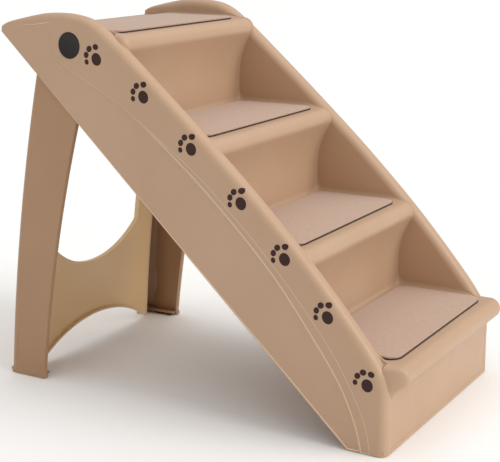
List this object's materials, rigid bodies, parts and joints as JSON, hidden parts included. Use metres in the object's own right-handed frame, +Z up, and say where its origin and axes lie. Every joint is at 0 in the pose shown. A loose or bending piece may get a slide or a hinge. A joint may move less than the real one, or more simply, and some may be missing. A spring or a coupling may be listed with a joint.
{
  "type": "folding pet stair",
  "caption": "Folding moulded plastic pet stair with carpeted treads, a swinging rear leg frame and round release buttons on its pivot.",
  "frame": {"origin": "on the ground under the middle of the whole stair, leg frame out", "axes": "+Z up, +Y the way an animal climbs, +X to the right when climbing"},
  "size_m": [0.3612, 0.617, 0.5176],
  "materials": {
    "tan_plastic": "fine moulded satin grain",
    "tan_felt": "short felt pile",
    "dark_backing": "matte",
    "dark_button": "satin",
    "black_nylon": "moulded",
    "zinc_steel": "bright zinc plate",
    "foot_rubber": "matte"
  },
  "bodies": {
    "stair": {"stair_body": "tan_plastic", "pad_backing_1": "dark_backing", "tread_pad_1": "tan_felt", "pad_backing_2": "dark_backing", "tread_pad_2": "tan_felt", "pad_backing_3": "dark_backing", "tread_pad_3": "tan_felt", "pad_backing_4": "dark_backing", "tread_pad_4": "tan_felt", "button_spring_right": "zinc_steel", "button_spring_left": "zinc_steel", "front_foot_right": "foot_rubber", "front_foot_left": "foot_rubber"},
    "leg": {"leg_frame": "tan_plastic", "rear_foot_right": "foot_rubber", "rear_foot_left": "foot_rubber"},
    "button_right": {"release_button_right": "dark_button", "lock_gear_right": "black_nylon", "retaining_washer_right": "zinc_steel", "retaining_screw_right": "zinc_steel"},
    "button_left": {"release_button_left": "dark_button", "lock_gear_left": "black_nylon", "retaining_washer_left": "zinc_steel", "retaining_screw_left": "zinc_steel"}
  },
  "joints": [
    {"name": "leg_fold", "type": "hinge", "parent": "stair", "child": "leg", "pos_m": [0, 0.1755, 0.477], "axis": [-1, 0, 0], "range_deg": [0, 54]},
    {"name": "button_press_right", "type": "slide", "parent": "stair", "child": "button_right", "axis": [-1, 0, 0], "range_m": [0, 0.004], "stiffness_N_per_m": 900, "springref_m": -0.005, "deforming": ["button_spring_right"]},
    {"name": "button_press_left", "type": "slide", "parent": "stair", "child": "button_left", "axis": [1, 0, 0], "range_m": [0, 0.004], "stiffness_N_per_m": 900, "springref_m": -0.005, "deforming": ["button_spring_left"]}
  ]
}
